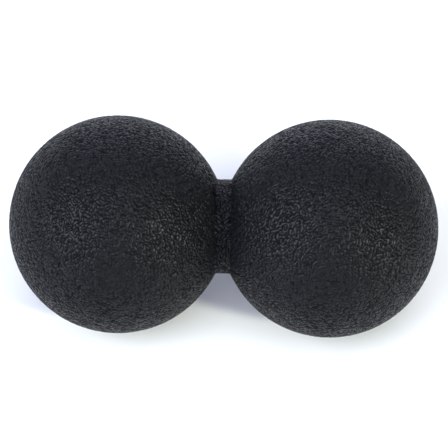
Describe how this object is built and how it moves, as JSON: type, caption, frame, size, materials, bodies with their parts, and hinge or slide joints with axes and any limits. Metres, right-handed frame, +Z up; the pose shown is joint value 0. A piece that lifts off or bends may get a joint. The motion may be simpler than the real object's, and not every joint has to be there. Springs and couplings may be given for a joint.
{
  "type": "massage ball",
  "caption": "Peanut massage ball: two hollow black grained balls joined by a short neck, rolled under the back so that the spine lies in the gap.",
  "frame": {"origin": "centre of the neck, which is the centre of the whole ball pair", "axes": "+X along the long axis from the left ball to the right ball, +Z up, with the pair lying on a level surface"},
  "size_m": [0.125, 0.0634, 0.0634],
  "materials": {
    "ball_elastomer": "matte moulded grain",
    "neck_elastomer": "matte moulded grain",
    "spool_plastic": "natural moulded polypropylene"
  },
  "bodies": {
    "root": {"left_upper_shell": "ball_elastomer", "left_lower_shell": "ball_elastomer", "right_upper_shell": "ball_elastomer", "right_lower_shell": "ball_elastomer", "neck_band": "neck_elastomer", "neck_spool": "spool_plastic"}
  },
  "joints": []
}
